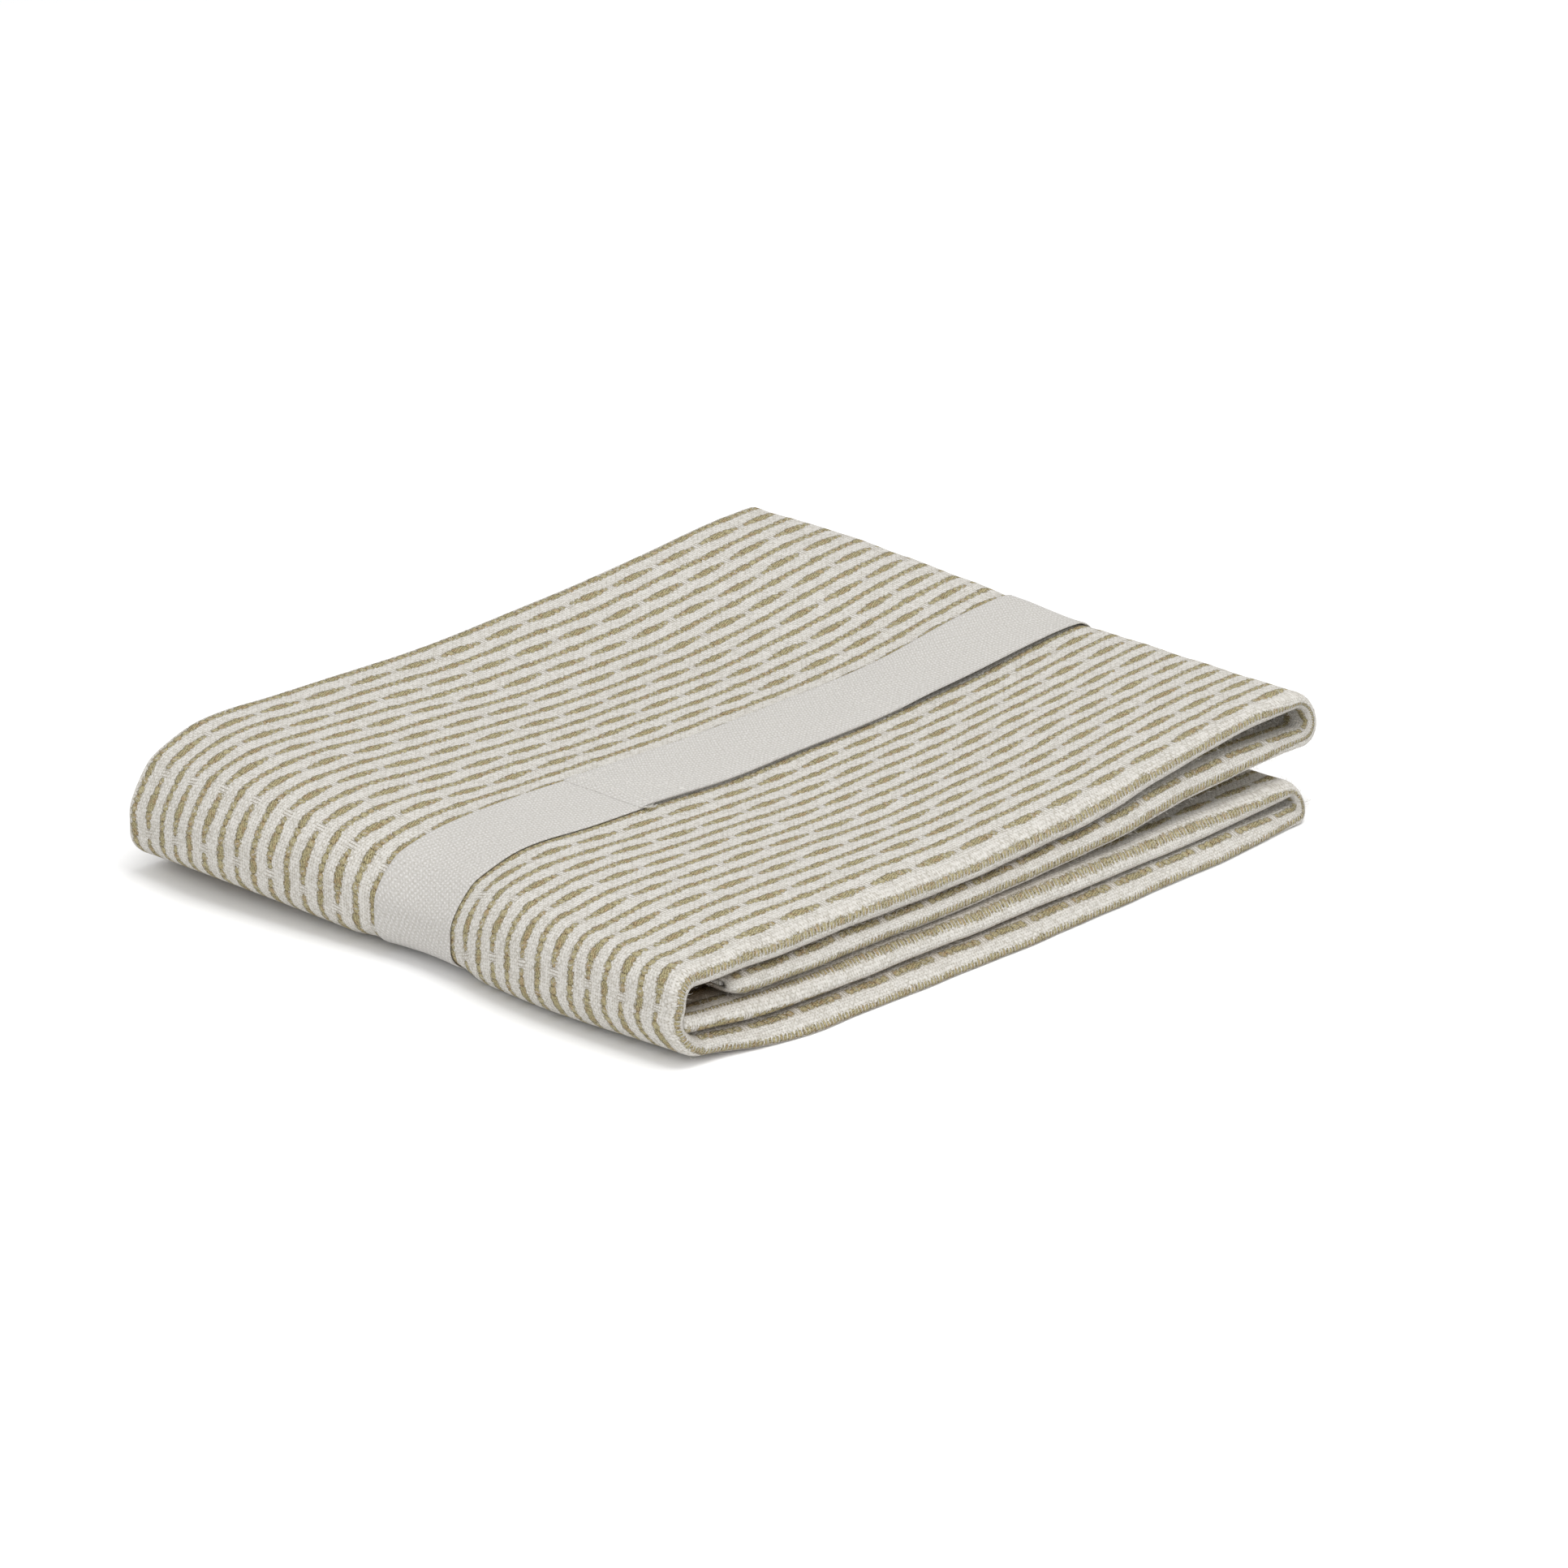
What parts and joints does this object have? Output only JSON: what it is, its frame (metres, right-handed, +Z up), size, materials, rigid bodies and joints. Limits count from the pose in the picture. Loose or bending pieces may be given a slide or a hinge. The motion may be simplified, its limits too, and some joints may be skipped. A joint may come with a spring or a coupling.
{
  "type": "folded tea towel with a cotton webbing band",
  "caption": "Khaki and white striped cotton tea towel folded into a thick packet, held by an off-white cotton webbing band sewn on itself.",
  "frame": {"origin": "middle of the packet's footprint, on the surface it lies on", "axes": "+X along the stripes, from the big round fold to the open loops; +Y from the front edges to the back ones; +Z up"},
  "size_m": [0.2302, 0.1844, 0.0364],
  "materials": {
    "striped_cotton": "white plain weave with khaki stripes and dashes in coarser yarn",
    "cotton_webbing": "undyed off-white cotton webbing, matte"
  },
  "bodies": {
    "root": {"towel": "striped_cotton", "band": "cotton_webbing"}
  },
  "joints": []
}
